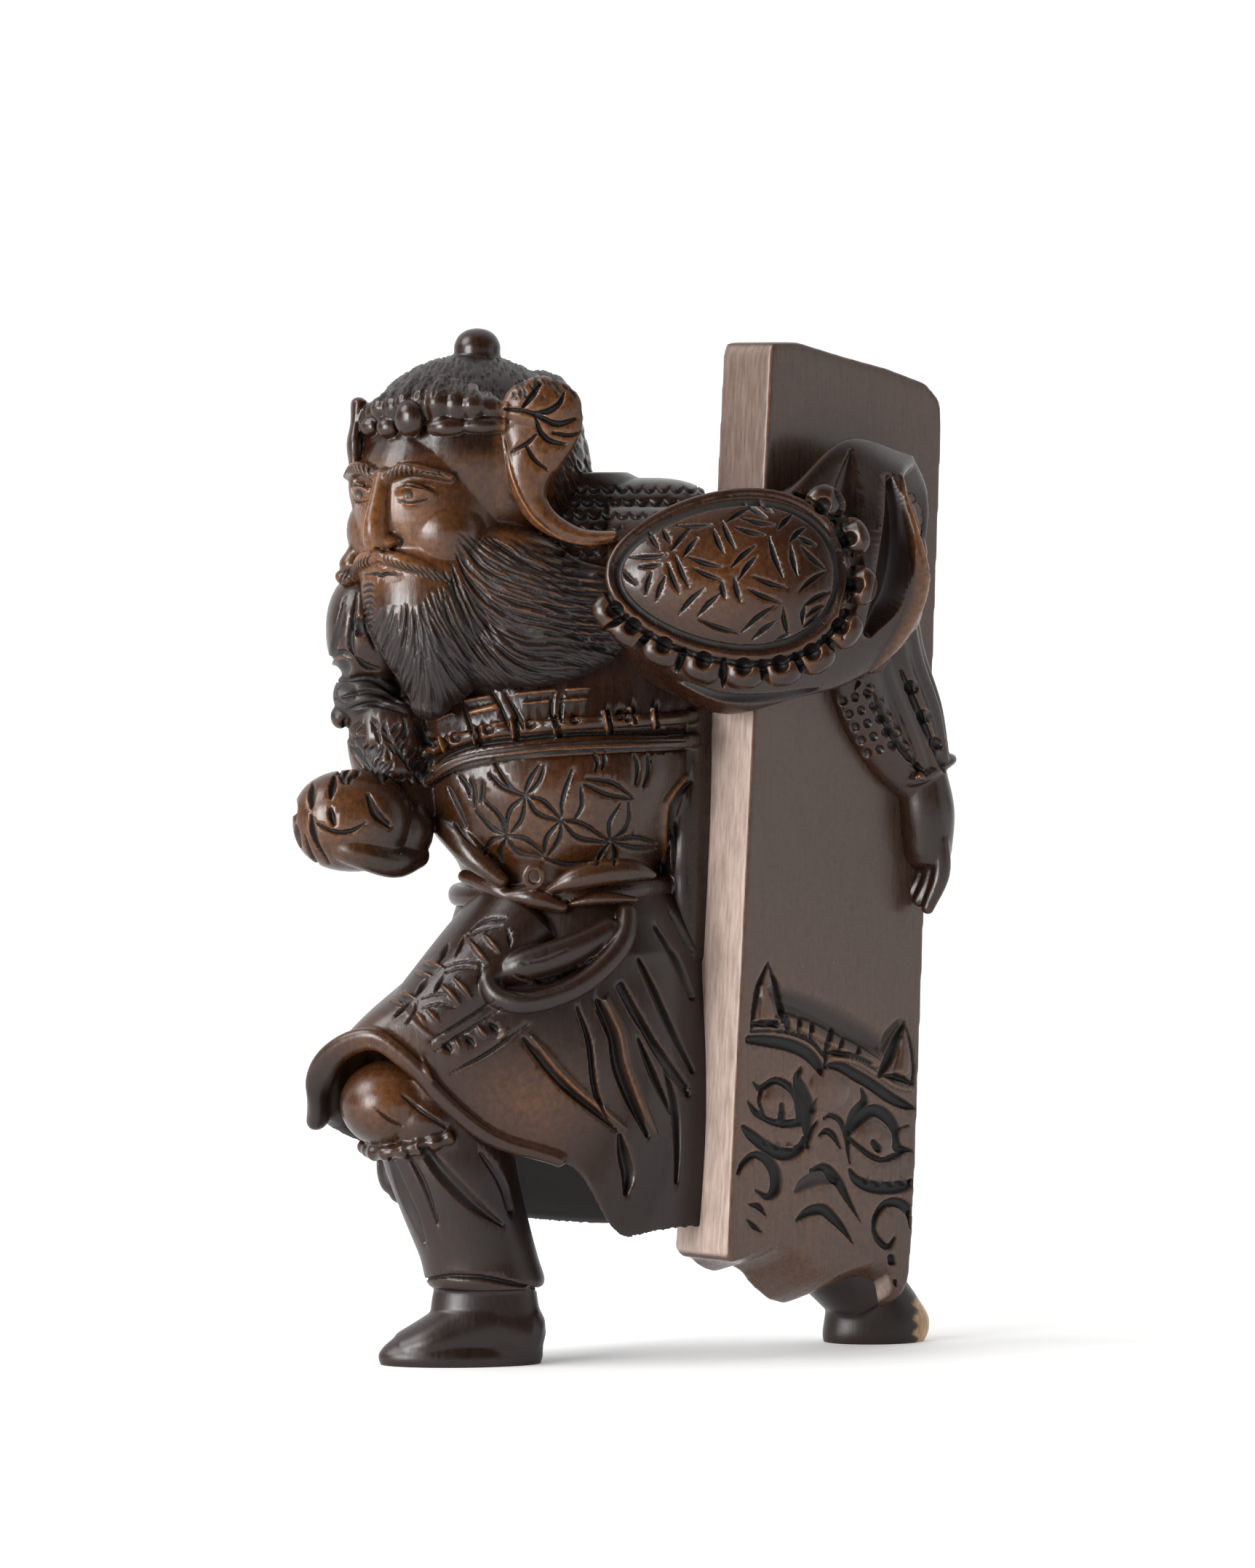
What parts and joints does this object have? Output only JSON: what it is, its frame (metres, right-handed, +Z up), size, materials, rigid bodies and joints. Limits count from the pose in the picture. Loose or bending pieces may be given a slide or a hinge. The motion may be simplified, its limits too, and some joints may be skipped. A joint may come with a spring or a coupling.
{
  "type": "figure netsuke",
  "caption": "Carved boxwood figure of a bearded warrior in armour who strides along with a tall door slab under one arm, the slab carved with a demon face.",
  "frame": {"origin": "middle of the carving's outline, on the ground under its soles", "axes": "+Z up, the longest extent; -Y toward the viewer; +X to the viewer's right, from the stepping foot to the door"},
  "size_m": [0.0486, 0.0244, 0.075],
  "materials": {
    "stained_boxwood": "dark reddish-brown stain with a satin polish, ink in the recesses and amber wear on the edges"
  },
  "bodies": {
    "root": {"warrior_with_door": "stained_boxwood"}
  },
  "joints": []
}
